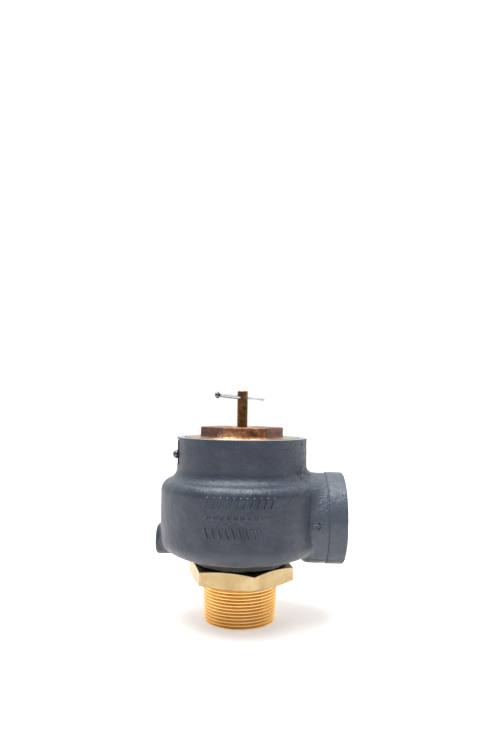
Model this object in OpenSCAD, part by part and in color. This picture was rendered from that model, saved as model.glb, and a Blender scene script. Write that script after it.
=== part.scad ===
// Side-outlet pressure relief valve. +Z is the valve's axis, z = 0 is the end of the inlet,
// and the outlet points along +X. All lengths are in millimetres.

/* [Base nozzle] */
// Radius over the crests of the male inlet thread
inlet_r = 36.5; // [36:0.1:37]
// Length of the male inlet thread
inlet_len = 41.3; // [39:0.1:43]
// Radius of the bore from the inlet to the seat
bore_r = 31; // [30.5:0.1:31.5]
// Size of the base hexagon across its flats
base_af = 95.25; // [92:0.25:98]
// Height of the base hexagon
base_hex_h = 17; // [15:0.5:19]
// Turn of the base hexagon about the valve's axis, in degrees
base_hex_turn = 15; // [0:1:59]
// Radius of the threaded spigot that screws into the housing
spigot_r = 44.4; // [43:0.1:45]
// Length of the spigot
spigot_len = 20; // [16:1:22]
// Height of the seat above the end of the inlet
seat_z = 90; // [88:0.5:91]

/* [Housing] */
// Largest radius of the belly
belly_r = 80.9; // [80:0.1:83]
// Height where the curve of the underside meets the belly's side
belly_low_z = 84; // [83:0.5:86]
// Height where the belly's side meets the curve of the shoulder
belly_high_z = 131; // [130:0.5:133]
// Radius of the neck
neck_r = 65.5; // [65:0.1:67]
// Height of the rim
rim_z = 184.2; // [182:0.1:188]
// Thickness of the cast wall
wall = 7.5; // [6.5:0.1:8]
// Height of the raised marks on the belly's front
mark_h = 1.2; // [0.5:0.1:1.5]

/* [Outlet] */
// Height of the outlet's axis
outlet_z = 103.5; // [102:0.1:105]
// Distance from the valve's axis to the outlet's face
outlet_x = 102.5; // [98:0.5:106]
// Radius of the band round the outlet's mouth
band_r = 46; // [45.5:0.1:47]
// Width of that band
band_w = 18.5; // [14:0.5:20]
// Radius of the female outlet thread over its crests
outlet_r = 33.8; // [33:0.1:35]
// Length of the female outlet thread
outlet_len = 28; // [24:1:30]

/* [Drain boss] */
// Height of the boss's axis
drain_z = 79.7; // [79:0.1:82]
// Radius of the boss
drain_boss_r = 15; // [13:0.5:16]
// Distance from the valve's axis to the boss's face
drain_face_x = 85.2; // [84:0.1:88]
// Radius of the plug's thread
plug_r = 8.5; // [7.5:0.1:9]
// Size of the plug's hexagon socket across its flats
plug_socket = 8; // [6:0.5:10]
// Depth of that socket
plug_socket_depth = 6; // [4:0.5:7]

/* [Adjusting screw] */
// Radius of the screw over its thread
screw_r = 57.5; // [57.5:0.01:57.56]
// Height of the threaded ring
screw_ring_h = 20; // [18:1:20]
// Size of the screw's hexagon across its flats
screw_af = 73; // [70:0.5:76]
// Height of the screw's hexagon
screw_hex_h = 10; // [8:0.5:12]
// Turn of the screw's hexagon, in degrees
screw_turn = 5; // [0:1:59]

/* [Stem and pull pin] */
// Radius of the stem
stem_r = 5.3; // [5:0.1:5.5]
// Height of the stem's top
stem_top_z = 231; // [228:1:236]
// Height of the cross hole for the pull pin
hole_z = 224; // [222:0.5:225]
// Radius of that cross hole
hole_r = 2.35; // [2.2:0.05:2.6]
// Radius of the pull pin
pin_r = 1.8; // [1.6:0.1:1.8]
// Distance from the stem's axis to the outside of the pin's eye
pin_eye_reach = 50; // [40:1:55]
// Distance from the stem's axis to the tip of the pin's legs
pin_tip_reach = 45; // [40:1:50]
// Direction of the eye, in degrees from the -X axis towards -Y
pin_turn = 60; // [0:5:75]
// Rise of the pin towards its eye, in degrees
pin_rise = 2; // [0:0.5:2.5]

/* [Spring] */
// Radius of the spring's wire
wire_r = 4; // [3:0.25:4.5]
// Radius of the coil, to the middle of the wire
coil_r = 37; // [36:0.5:38]
// Number of turns
coil_turns = 5.5; // [5:0.5:6]

/* [Nameplate] */
// Width of the plate
plate_w = 40; // [36:1:42]
// Height of the plate
plate_h = 24; // [20:1:25]
// Distance from the valve's axis to the plate's outer face
plate_x = 63.2; // [62.8:0.1:63.4]
// Thickness of the plate
plate_t = 2; // [1:0.1:2]
// Distance between the plate's two screws
plate_screw_gap = 32; // [26:1:32]

/* [Hidden] */
$fn = 96;
eps = 0.5;
fit_gap = 0.05;
// How far outside its flats a hexagon's chamfer starts
chamfer_start = 0.5;

hex_top_z = inlet_len + base_hex_h;
spigot_top_z = hex_top_z + spigot_len;
seat_lip_w = 3;
seat_lip_h = 2;
nozzle_top_r = 41;
base_overlap = 1;
base_chamfer = 2.2;

foot_r = 48;
foot_h = 6.7;
foot_neck_r = 46.5;
foot_fillet = 1.5;
socket_wall = 7;
// How far the outlet and the boss reach through the wall before the cavity is cut
wall_overlap = 6;
under_a = belly_r - foot_r;
under_z = hex_top_z + foot_h;
under_b = belly_low_z - under_z;
// The shoulder is an S of two equal arcs. Each turns by shoulder_turn degrees.
shoulder_turn = 70;
shoulder_steps = 6;
shoulder_r = (belly_r - neck_r) / 2 / (1 - cos(shoulder_turn));
shoulder_top_z = belly_high_z + 2 * shoulder_r * sin(shoulder_turn);
inner_shoulder_r = 8;
neck_bore_r = 57.6;
cavity_r = belly_r - wall;
neck_bore_start = 7;
neck_bore_low_z = belly_high_z + neck_bore_start;

outlet_neck_r = band_r - 0.8;
outlet_root_x = 56;
core_r = 36;
core_start_x = 62;

seal_t = 4;
seal_r = 36.2;
holder_r = 40;
holder_h = 13;
holder_slope_h = 3;
holder_slope_w = 10;
holder_top_z = seat_z + holder_h;
skirt_drop = 0.5;
retainer_r = 29;
retainer_t = 2;
guide_low_z = 58;
guide_hub_r = 9;
guide_wings = 4;
guide_wing_t = 4;
nut_af = 17;
nut_h = 8;
nut_chamfer = 0.6;
stem_low_z = 43;
collar_r = 9;
collar_h = 4;
cotter_r = 1.2;
cotter_len = 16;
cotter_z = 46.5;

step_flange_r = 44;
step_flange_h = 5;
step_pilot_r = 31;
step_pilot_h = 5;
lower_step_z = holder_top_z + collar_h;
spring_low_z = lower_step_z + step_flange_h;
ring_rise = 0.3;
screw_low_z = rim_z + ring_rise - screw_ring_h;
thrust_t = 1.5;
thrust_r = 30;
upper_step_z = screw_low_z - thrust_t - step_flange_h;
step_bore_r = 6;
bush_r = 9;
bush_flange_r = 12;
bush_flange_h = 1.5;
bush_inset = 1;
bush_low_z = screw_low_z + bush_inset;
bush_top_z = screw_low_z + screw_ring_h + screw_hex_h;

spring_gap = 0.1;
closed_turns = 0.75;
wire_sides = 10;
turn_steps = 24;

eye_wire_r = 0.95;
eye_r = 2.15;
leg_difference = 2;

// How far the plug's outer end lies inside the boss's face
plug_inset = 0.8;
plug_end_gap = 1;

plate_mid_z = 169.5;
plate_edge = 0.4;
plate_screw_z = 167;
plate_screw_r = 1.5;
plate_screw_head_r = 4;
plate_screw_head_h = 5.5;
plate_screw_depth = 3.5;

lock_z = 174;
lock_r = 4;
lock_gap = 0.4;
lock_out = 1.2;
lock_slot_w = 1.2;
lock_slot_d = 1.6;

mark_w = 2.2;
mark_root = 1;
mark_tall = 10.5;
mark_slant = 18;
mark_step = 6.1;
mark_left_x = -31;
mark_rows = [[128, 11, 1], [114.5, 9, 0], [101, 9, -1]];
arrow_x = 69;
arrow_len = 10;
arrow_half = 3.8;
arrow_line = 1.6;
arrow_z = 103;

grey_paint = [0.33, 0.36, 0.4];
brass = [0.83, 0.66, 0.36];
bronze = [0.6, 0.38, 0.24];
dark_bronze = [0.38, 0.26, 0.16];
steel = [0.7, 0.71, 0.73];
spring_steel = [0.45, 0.46, 0.48];
white_seal = [0.9, 0.9, 0.86];

// Points along part of an ellipse, from angle a0 to angle a1
function ellipse_points(cx, cy, a, b, a0, a1, steps) =
    [for (i = [0:steps]) let (t = a0 + (a1 - a0) * i / steps) [cx + a * cos(t), cy + b * sin(t)]];

// Height of the inner curve of the underside at radius r
function floor_z(r) =
    belly_low_z - (under_b - wall) * sqrt(1 - pow((r - foot_r) / (under_a - wall), 2));

module hex_prism(af, h) {
    cylinder(r = af / 2 / cos(30), h = h, $fn = 6);
}

// A hexagon whose corners are turned down at the top, and at the bottom if low is true
module chamfered_hex(af, h, depth, low = false) {
    corner_r = af / 2 / cos(30);
    flat_r = af / 2 + chamfer_start;
    slope_h = depth * 2;
    intersection() {
        hex_prism(af, h);
        union() {
            translate([0, 0, h - slope_h])
                cylinder(r1 = corner_r + (corner_r - flat_r), r2 = flat_r, h = slope_h);
            translate([0, 0, low ? slope_h : 0])
                cylinder(r = corner_r + eps, h = h - slope_h * (low ? 2 : 1));
            if (low)
                cylinder(r1 = flat_r, r2 = corner_r + (corner_r - flat_r), h = slope_h);
        }
    }
}

// A cylinder along +X that starts at x
module along_x(x, r, h, z = 0) {
    translate([x, 0, z])
        rotate([0, 90, 0])
            cylinder(r = r, h = h);
}

module housing_shell() {
    socket_r = spigot_r + fit_gap;
    socket_out_r = socket_r + socket_wall;
    outside = concat(
        [[socket_r, hex_top_z], [foot_neck_r, hex_top_z], [foot_neck_r, under_z - foot_fillet]],
        ellipse_points(foot_r, belly_low_z, under_a, under_b, -90, 0, 12),
        ellipse_points(belly_r - shoulder_r, belly_high_z, shoulder_r, shoulder_r,
            0, shoulder_turn, shoulder_steps),
        ellipse_points(neck_r + shoulder_r, shoulder_top_z, shoulder_r, shoulder_r,
            180 + shoulder_turn - shoulder_turn / shoulder_steps, 180, shoulder_steps - 1),
        [[neck_r, rim_z]]
    );
    floor_start = -90 + asin((socket_out_r - foot_r) / (under_a - wall));
    inside = concat(
        [[neck_bore_r, rim_z], [neck_bore_r, neck_bore_low_z]],
        ellipse_points(cavity_r - inner_shoulder_r, neck_bore_low_z - inner_shoulder_r,
            inner_shoulder_r, inner_shoulder_r, 90, 0, 5),
        ellipse_points(foot_r, belly_low_z, under_a - wall, under_b - wall, 0, floor_start, 8),
        [[socket_out_r, spigot_top_z], [socket_r, spigot_top_z]]
    );
    rotate_extrude()
        polygon(concat(outside, inside));
}

// Slanted dashes in the outer rows and round studs in the middle one
module cast_marks() {
    for (row = mark_rows)
        for (i = [0:row[1] - 1])
            rotate([0, 0, asin((mark_left_x + i * mark_step) / belly_r)])
                translate([0, -belly_r - mark_h, row[0]])
                    if (row[2] == 0)
                        rotate([-90, 0, 0])
                            cylinder(r = mark_w, h = mark_h + mark_root);
                    else
                        translate([0, (mark_h + mark_root) / 2, 0])
                            rotate([0, mark_slant * row[2], 0])
                                cube([mark_w, mark_h + mark_root, mark_tall], center = true);
}

module flow_arrow() {
    translate([arrow_x, -outlet_neck_r - mark_h, arrow_z])
        rotate([-90, 0, 0])
            linear_extrude(height = mark_h + mark_root) {
                translate([0, -arrow_line / 2])
                    square([arrow_len - arrow_line, arrow_line]);
                polygon([
                    [arrow_len, 0], [arrow_len - arrow_half, arrow_half],
                    [arrow_len - arrow_half - arrow_line, arrow_half],
                    [arrow_len - arrow_line * 1.5, 0],
                    [arrow_len - arrow_half - arrow_line, -arrow_half],
                    [arrow_len - arrow_half, -arrow_half]
                ]);
            }
}

// The flat on the neck that the nameplate lies on
module plate_flat() {
    translate([-neck_r - eps, -neck_r, plate_mid_z - plate_h / 2 - plate_edge])
        cube([neck_r + eps - plate_x + plate_t, 2 * neck_r, plate_h + 2 * plate_edge]);
}

module housing() {
    plate_back_x = plate_x - plate_t;
    color(grey_paint)
        difference() {
            union() {
                housing_shell();
                difference() {
                    union() {
                        along_x(outlet_root_x, outlet_neck_r, outlet_x - band_w - outlet_root_x, outlet_z);
                        along_x(outlet_x - band_w, band_r, band_w, outlet_z);
                        along_x(-drain_face_x, drain_boss_r, drain_face_x - cavity_r + wall_overlap, drain_z);
                        flow_arrow();
                    }
                    translate([0, 0, floor_z(cavity_r - wall_overlap)])
                        cylinder(r = cavity_r, h = neck_bore_low_z - floor_z(cavity_r - wall_overlap));
                }
                cast_marks();
            }
            along_x(outlet_x - outlet_len, outlet_r, outlet_len + eps, outlet_z);
            along_x(core_start_x, core_r, outlet_x - outlet_len - core_start_x + fit_gap, outlet_z);
            along_x(-drain_face_x - eps, plug_r + fit_gap, drain_face_x - cavity_r + wall_overlap, drain_z);
            plate_flat();
            for (side = [-1, 1])
                translate([-plate_back_x - eps, side * plate_screw_gap / 2, plate_screw_z])
                    rotate([0, 90, 0])
                        cylinder(r = plate_screw_r + fit_gap / 2, h = plate_screw_depth + eps);
            translate([0, neck_bore_r - eps, lock_z])
                rotate([-90, 0, 0])
                    cylinder(r = lock_r + fit_gap / 2, h = neck_r - neck_bore_r + 2 * eps);
        }
}

module base_nozzle() {
    body = [
        [bore_r, 0], [inlet_r, 0], [inlet_r, inlet_len + base_overlap],
        [spigot_r, inlet_len + base_overlap], [spigot_r, spigot_top_z], [nozzle_top_r, spigot_top_z],
        [nozzle_top_r, seat_z - seat_lip_h], [bore_r + seat_lip_w, seat_z - seat_lip_h],
        [bore_r + seat_lip_w, seat_z], [bore_r, seat_z]
    ];
    color(brass)
        difference() {
            union() {
                rotate_extrude()
                    polygon(body);
                translate([0, 0, inlet_len])
                    rotate([0, 0, base_hex_turn + 30])
                        chamfered_hex(base_af, base_hex_h, base_chamfer);
            }
            translate([0, 0, -eps])
                cylinder(r = bore_r, h = seat_z + 2 * eps);
        }
}

module seat_seal() {
    color(white_seal)
        translate([0, 0, seat_z])
            difference() {
                cylinder(r = seal_r, h = seal_t);
                translate([0, 0, -eps])
                    cylinder(r = stem_r + fit_gap, h = seal_t + 2 * eps);
            }
}

module seal_retainer() {
    color(steel)
        translate([0, 0, seat_z - retainer_t])
            difference() {
                cylinder(r = retainer_r, h = retainer_t);
                translate([0, 0, -eps])
                    cylinder(r = stem_r + fit_gap, h = retainer_t + 2 * eps);
            }
}

module disc_holder() {
    section = [
        [stem_r + fit_gap, seat_z + seal_t], [seal_r + fit_gap, seat_z + seal_t],
        [seal_r + fit_gap, seat_z - skirt_drop], [holder_r, seat_z - skirt_drop],
        [holder_r, holder_top_z - holder_slope_h], [holder_r - holder_slope_w, holder_top_z],
        [stem_r + fit_gap, holder_top_z]
    ];
    color(brass)
        rotate_extrude()
            polygon(section);
}

module wing_guide() {
    guide_h = seat_z - retainer_t - guide_low_z;
    color(brass)
        translate([0, 0, guide_low_z])
            difference() {
                intersection() {
                    union() {
                        cylinder(r = guide_hub_r, h = guide_h);
                        for (i = [0:guide_wings - 1])
                            rotate([0, 0, 45 + i * 360 / guide_wings])
                                translate([0, -guide_wing_t / 2, 0])
                                    cube([bore_r + eps, guide_wing_t, guide_h]);
                    }
                    cylinder(r = bore_r - fit_gap, h = guide_h);
                }
                translate([0, 0, -eps])
                    cylinder(r = stem_r + fit_gap, h = guide_h + 2 * eps);
            }
}

module stem() {
    color(dark_bronze)
        difference() {
            union() {
                translate([0, 0, stem_low_z])
                    cylinder(r = stem_r, h = stem_top_z - stem_low_z);
                translate([0, 0, holder_top_z])
                    cylinder(r = collar_r, h = collar_h);
            }
            translate([0, 0, hole_z])
                rotate([0, 0, pin_turn])
                    rotate([0, 90, 0])
                        cylinder(r = hole_r, h = 4 * stem_r, center = true);
            translate([0, 0, cotter_z])
                rotate([90, 0, 0])
                    cylinder(r = cotter_r + 2 * fit_gap, h = 4 * stem_r, center = true);
        }
}

module stem_nut() {
    color(steel)
        translate([0, 0, guide_low_z - nut_h])
            difference() {
                chamfered_hex(nut_af, nut_h, nut_chamfer, true);
                translate([0, 0, -eps])
                    cylinder(r = stem_r + fit_gap, h = nut_h + 2 * eps);
            }
}

module nut_cotter() {
    color(steel)
        translate([0, 0, cotter_z])
            rotate([90, 0, 0])
                cylinder(r = cotter_r, h = cotter_len, center = true);
}

// A stepped spring washer. Its flange is at z = 0 to h, and its pilot points to +Z.
module spring_step(hole) {
    difference() {
        union() {
            cylinder(r = step_flange_r, h = step_flange_h);
            cylinder(r = step_pilot_r, h = step_flange_h + step_pilot_h);
        }
        translate([0, 0, -eps])
            cylinder(r = hole, h = step_flange_h + step_pilot_h + 2 * eps);
    }
}

module lower_spring_step() {
    color(steel)
        translate([0, 0, lower_step_z])
            spring_step(stem_r + fit_gap);
}

module upper_spring_step() {
    color(steel)
        translate([0, 0, upper_step_z + step_flange_h])
            mirror([0, 0, 1])
                spring_step(step_bore_r);
}

// Height of the coil's middle line, with a closed turn at each end
function coil_z(t, low, high) =
    let (pitch = (high - low - 4 * wire_r) / (coil_turns - 2 * closed_turns))
    t < closed_turns ? low + wire_r + t / closed_turns * wire_r
    : t > coil_turns - closed_turns ? high - wire_r - (coil_turns - t) / closed_turns * wire_r
    : low + 2 * wire_r + (t - closed_turns) * pitch;

module spring() {
    low = spring_low_z + spring_gap;
    high = upper_step_z - spring_gap;
    steps = turn_steps * coil_turns;
    points = [
        for (i = [0:steps])
            let (t = i / steps * coil_turns, turn = t * 360, z = coil_z(t, low, high))
            for (j = [0:wire_sides - 1])
                let (side = j * 360 / wire_sides, r = coil_r + wire_r * cos(side))
                [r * cos(turn), r * sin(turn), z + wire_r * sin(side)]
    ];
    walls = [
        for (i = [0:steps - 1], j = [0:wire_sides - 1])
            let (k = (j + 1) % wire_sides)
            [i * wire_sides + j, i * wire_sides + k, (i + 1) * wire_sides + k, (i + 1) * wire_sides + j]
    ];
    start_cap = [for (j = [0:wire_sides - 1]) wire_sides - 1 - j];
    end_cap = [for (j = [0:wire_sides - 1]) steps * wire_sides + j];
    color(spring_steel)
        polyhedron(points, concat(walls, [start_cap], [end_cap]));
}

module thrust_washer() {
    color(steel)
        translate([0, 0, screw_low_z - thrust_t])
            difference() {
                cylinder(r = thrust_r, h = thrust_t);
                translate([0, 0, -eps])
                    cylinder(r = step_bore_r, h = thrust_t + 2 * eps);
            }
}

module adjusting_screw() {
    color(bronze)
        difference() {
            union() {
                translate([0, 0, screw_low_z])
                    cylinder(r = screw_r, h = screw_ring_h);
                translate([0, 0, screw_low_z + screw_ring_h])
                    rotate([0, 0, screw_turn])
                        hex_prism(screw_af, screw_hex_h);
            }
            translate([0, 0, screw_low_z - eps])
                cylinder(r = bush_r, h = screw_ring_h + screw_hex_h + 2 * eps);
            translate([0, 0, bush_top_z - bush_flange_h])
                cylinder(r = bush_flange_r + fit_gap, h = bush_flange_h + eps);
        }
}

module stem_bushing() {
    color(brass)
        difference() {
            union() {
                translate([0, 0, bush_low_z])
                    cylinder(r = bush_r, h = bush_top_z - bush_low_z);
                translate([0, 0, bush_top_z - bush_flange_h])
                    cylinder(r = bush_flange_r, h = bush_flange_h);
            }
            translate([0, 0, bush_low_z - eps])
                cylinder(r = stem_r + fit_gap, h = bush_top_z - bush_low_z + 2 * eps);
        }
}

// A split pin with its eye towards -X before it is turned
module pull_pin() {
    shank_start = pin_eye_reach - 2 * eye_r - eye_wire_r;
    color(steel)
        translate([0, 0, hole_z])
            rotate([0, pin_rise, pin_turn]) {
                along_x(-shank_start, pin_r, shank_start + pin_tip_reach - leg_difference);
                intersection() {
                    along_x(0, pin_r, pin_tip_reach);
                    translate([0, -pin_r, -2 * pin_r])
                        cube([pin_tip_reach, 2 * pin_r, 2 * pin_r]);
                }
                translate([-pin_eye_reach + eye_r + eye_wire_r, 0, 0])
                    rotate([90, 0, 0])
                        rotate_extrude()
                            translate([eye_r, 0])
                                circle(r = eye_wire_r, $fn = 32);
            }
}

// A pipe plug with a hexagon socket, flush with the boss
module drain_plug() {
    color(grey_paint)
        translate([-drain_face_x + plug_inset, 0, drain_z])
            rotate([0, 90, 0])
                difference() {
                    cylinder(r = plug_r, h = drain_face_x - cavity_r - plug_inset - plug_end_gap);
                    translate([0, 0, -eps])
                        hex_prism(plug_socket, plug_socket_depth + eps);
                }
}

module lock_screw() {
    inner_y = neck_bore_r + lock_gap;
    outer_y = neck_r + lock_out;
    color(steel)
        difference() {
            translate([0, inner_y, lock_z])
                rotate([-90, 0, 0])
                    cylinder(r = lock_r, h = outer_y - inner_y);
            translate([0, outer_y, lock_z])
                cube([3 * lock_r, 2 * lock_slot_d, lock_slot_w], center = true);
        }
}

module nameplate() {
    color(steel)
        difference() {
            translate([-plate_x, -plate_w / 2, plate_mid_z - plate_h / 2])
                cube([plate_t, plate_w, plate_h]);
            for (side = [-1, 1])
                translate([-plate_x - eps, side * plate_screw_gap / 2, plate_screw_z])
                    rotate([0, 90, 0])
                        cylinder(r = plate_screw_r + fit_gap, h = plate_t + 2 * eps);
        }
}

module nameplate_screws() {
    color(steel)
        for (side = [-1, 1])
            translate([-plate_x, side * plate_screw_gap / 2, plate_screw_z]) {
                rotate([0, 90, 0])
                    cylinder(r = plate_screw_r, h = plate_t + plate_screw_depth - eps);
                intersection() {
                    translate([plate_screw_head_r - plate_screw_head_h, 0, 0])
                        sphere(r = plate_screw_head_r);
                    translate([-plate_screw_head_h, -plate_screw_head_r, -plate_screw_head_r])
                        cube([plate_screw_head_h, 2 * plate_screw_head_r, 2 * plate_screw_head_r]);
                }
            }
}

housing();
base_nozzle();
seat_seal();
seal_retainer();
disc_holder();
wing_guide();
stem();
stem_nut();
nut_cotter();
lower_spring_step();
spring();
upper_spring_step();
thrust_washer();
adjusting_screw();
stem_bushing();
pull_pin();
drain_plug();
lock_screw();
nameplate();
nameplate_screws();
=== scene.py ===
"""Side-outlet pressure relief valve: painted casting, brass base, bronze adjusting screw, stem and pull pin.

Shapes are worked out in millimetres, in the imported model's own frame, and become metres when a mesh is made.
"""

import math
from collections import namedtuple

import bmesh
import bpy
import numpy as np
from mathutils import Euler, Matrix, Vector


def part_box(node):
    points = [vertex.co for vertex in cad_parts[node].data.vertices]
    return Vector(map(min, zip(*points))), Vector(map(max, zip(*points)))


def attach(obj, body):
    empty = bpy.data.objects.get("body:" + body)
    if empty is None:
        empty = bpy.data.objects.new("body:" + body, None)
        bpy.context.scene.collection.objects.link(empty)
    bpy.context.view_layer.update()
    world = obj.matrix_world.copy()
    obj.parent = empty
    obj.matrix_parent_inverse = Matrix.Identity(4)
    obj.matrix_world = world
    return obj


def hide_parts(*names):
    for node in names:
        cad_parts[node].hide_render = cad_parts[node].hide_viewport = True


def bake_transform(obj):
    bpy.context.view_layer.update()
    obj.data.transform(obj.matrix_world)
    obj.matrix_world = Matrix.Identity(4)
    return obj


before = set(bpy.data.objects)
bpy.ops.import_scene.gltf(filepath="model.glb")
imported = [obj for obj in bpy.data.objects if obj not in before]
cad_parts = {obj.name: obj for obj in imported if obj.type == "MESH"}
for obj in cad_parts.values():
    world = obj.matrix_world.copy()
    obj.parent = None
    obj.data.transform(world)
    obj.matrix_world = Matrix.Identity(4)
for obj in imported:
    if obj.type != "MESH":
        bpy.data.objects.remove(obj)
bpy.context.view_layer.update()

MM = 0.001
SHARP_ANGLE = 32
THREAD_STEPS = 10
rng = np.random.default_rng(11)


def box_mm(node):
    """A node's lowest and highest corners, in millimetres."""
    low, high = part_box(node)
    return np.array(low) / MM, np.array(high) / MM


# ---------------- sizes, in millimetres
casting_low, casting_high = box_mm("housing")
base_top = box_mm("base_nozzle")[1][2]
screw_low, screw_high = box_mm("adjusting_screw")
stem_low, stem_high = box_mm("stem")
plug_low, plug_high = box_mm("drain_plug")
plate_low, plate_high = box_mm("nameplate")
spring_low, spring_high = box_mm("spring")
heads_low, heads_high = box_mm("nameplate_screws")

# Belly, neck and foot of the casting
RIM_Z = casting_high[2]
BELLY_R = 80.9
NECK_R = 65.5
WALL = 7.5
NECK_BORE_R = 57.6
FOOT_R = 48.0
FOOT_NECK_R = 46.5
UNDER_Z = 65.0
BELLY_LOW_Z = 84.0
BELLY_HIGH_Z = 131.0
SHOULDER_TURN = 70
SHOULDER_R = (BELLY_R - NECK_R) / 2 / (1 - math.cos(math.radians(SHOULDER_TURN)))
SHOULDER_TOP_Z = BELLY_HIGH_Z + 2 * SHOULDER_R * math.sin(math.radians(SHOULDER_TURN))
INNER_SHOULDER_R = 8.0
NECK_BORE_LOW_Z = BELLY_HIGH_Z + 7.0

# Base nozzle, and the socket that it is screwed into
BASE_HEX = 95.25
BASE_BORE_R = 31.0
HEX_LOW_Z = 41.3
HEX_TOP_Z = 58.3
THREAD_TOP_Z = HEX_LOW_Z - 3.4
INLET_THREAD_DEPTH = 1.7
INLET_CREST_R = 36.1
SOCKET_R = 44.45
SOCKET_OUT_R = 51.5
SPIGOT_TOP_Z = 78.3

# Outlet
OUTLET_X = casting_high[0]
OUTLET_Z = 103.5
BAND_R = 46.0
BAND_W = 18.5
OUTLET_NECK_R = 45.2
OUTLET_ROOT_X = 58.0
OUTLET_THREAD_LEN = 28.0
OUTLET_THREAD_DEPTH = 2.2
OUTLET_CREST_R = 34.0
LINER_R = 37.4
CORE_R = 36.0

# Drain boss and its plug
BOSS_Z = 79.7
BOSS_R = 15.0
PLUG_INSET = 0.8
PLUG_HOLE_R = 8.55
PLUG_SOCKET = 8.0
BOSS_FACE_X = plug_low[0] - PLUG_INSET

# Adjusting screw. Painted shade on its hexagon runs from 0 to 1, one value for each facet and one for the top
# face; the facets start with the one at ADJUSTER_TURN degrees
ADJUSTER_HEX = 73.0
ADJUSTER_HEX_H = 10.0
ADJUSTER_TURN = 5
ADJUSTER_CREST_R = 57.45
ADJUSTER_THREAD_DEPTH = 1.35
ADJUSTER_FACE_R = 54.5
# Painted shade: how dark each facet of the hexagon is painted, and its top face.
FACET_SHADE = (0.5, 0.3, 0.6, 0.85, 0.05, 0.55)
TOP_SHADE = 0.45

# Stem, pull pin and spring
STEM_R = 5.3
PIN_Z = 224.0
PIN_TURN = 60
PIN_RISE = 2.0
SPRING_SPLIT = 0.6

# Threads. A taper is the radius gained along a unit of length
PIPE_PITCH = 25.4 / 8
PIPE_TAPER = 1 / 32
SCREW_PITCH = 2.54

# Raised marks in rows of (height, number of marks, lean), where a row without lean has studs, and the arrow
MARK_ROWS = ((128.0, 11, 1), (114.5, 9, 0), (101.0, 9, -1))
MARK_STEP = 6.1
MARK_LEFT = -31.0
MARK_TALL = 10.5
MARK_SLANT = 18.0
MARK_W = 2.2
MARK_H = 1.2
ARROW_X = 69.0
ARROW_Z = 103.0
ARROW_LEN = 10.0
ARROW_HALF = 3.8


# ---------------- meshes
def mesh_from(name, verts_mm, faces):
    """A mesh from points in millimetres."""
    mesh = bpy.data.meshes.new(name)
    mesh.from_pydata((np.asarray(verts_mm) * MM).tolist(), [], faces)
    return mesh


def new_object(name, data):
    """A new object in the scene."""
    thing = bpy.data.objects.new(name, data)
    bpy.context.scene.collection.objects.link(thing)
    return thing


def shade(mesh, sharp_angle=SHARP_ANGLE):
    """Shades a mesh smooth, except at edges that turn by more than sharp_angle degrees."""
    mesh.polygons.foreach_set("use_smooth", np.ones(len(mesh.polygons), bool))
    mesh.set_sharp_from_angle(angle=math.radians(sharp_angle))


def new_piece(name, verts_mm, faces, material, body, sharp_angle=SHARP_ANGLE, marks=()):
    """A piece of the object, from points in millimetres."""
    return finish_piece(name, mesh_from(name, verts_mm, faces), material, body, sharp_angle, marks)


def finish_piece(name, mesh, material, body, sharp_angle=SHARP_ANGLE, marks=()):
    """Cleans a mesh, shades it and makes it a piece of the object, which rides on a body if one is given.

    marks holds (name, values) pairs, one value for each point, that the piece's material reads.
    """
    for mark, values in marks:
        attribute = mesh.attributes.new(mark, "FLOAT", "POINT")
        attribute.data.foreach_set("value", np.asarray(values, np.float32))
    bm = bmesh.new()
    bm.from_mesh(mesh)
    bmesh.ops.remove_doubles(bm, verts=bm.verts, dist=1e-6)
    bmesh.ops.dissolve_degenerate(bm, edges=bm.edges, dist=1e-7)
    bmesh.ops.recalc_face_normals(bm, faces=bm.faces)
    bm.to_mesh(mesh)
    bm.free()
    shade(mesh, sharp_angle)
    mesh.materials.clear()
    mesh.materials.append(material)
    piece = new_object(name, mesh)
    if body:
        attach(piece, body)
    return piece


def skin(loops, closed=False, helix=None):
    """Joins loops of points into a solid.

    closed joins the last loop to the first, and otherwise both ends are capped. helix is (first, last, step):
    between those loops a row that has gone once round meets the row that is step loops further on.
    """
    count = len(loops[0])
    verts = np.concatenate(loops)
    faces = []
    pairs = len(loops) if closed else len(loops) - 1
    for j in range(pairs):
        nxt = (j + 1) % len(loops)
        for k in range(count):
            a, b = j, nxt
            if helix and k == count - 1 and helix[0] <= j < helix[1]:
                a = min(j + helix[2], helix[1])
                b = min(a + 1, helix[1])
            right = (k + 1) % count
            faces.append((j * count + k, a * count + right, b * count + right, nxt * count + k))
    if not closed:
        faces.append(tuple(range(count))[::-1])
        faces.append(tuple(range((len(loops) - 1) * count, len(loops) * count)))
    return verts, faces


def ring(angles, radius, z):
    """One loop about the Z axis. radius and z are numbers, or one value for each angle."""
    z = np.broadcast_to(z, angles.shape)
    return np.stack([radius * np.cos(angles), radius * np.sin(angles), z], axis=1)


def rings(angles, profile):
    """Loops about the Z axis, from pairs of radius and height."""
    return [ring(angles, radius, z) for radius, z in profile]


def round_angles(count):
    """Angles once round, evenly spaced."""
    return np.arange(count) / count * 2 * math.pi


def hex_loop(across_flats, turn_deg, corner, per_side):
    """Angles and radii of a hexagon with rounded corners, going round once from angle 0."""
    points = []
    flat = across_flats / 2
    inner = (flat - corner) / math.cos(math.pi / 6)
    half_side = (flat - corner) * math.tan(math.pi / 6)
    for side in range(6):
        at = turn_deg + side * 60
        x, y = inner * math.cos(math.radians(at)), inner * math.sin(math.radians(at))
        points += arc(x, y, corner, corner, at - 30, at + 30, 6)
        facet = math.radians(at + 30)
        for i in range(1, per_side):
            along = half_side * (2 * i / per_side - 1)
            points.append((
                flat * math.cos(facet) - along * math.sin(facet),
                flat * math.sin(facet) + along * math.cos(facet),
            ))
    points = np.array(points)
    angles = np.arctan2(points[:, 1], points[:, 0]) % (2 * math.pi)
    order = np.argsort(angles)
    return angles[order], np.linalg.norm(points, axis=1)[order]


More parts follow.
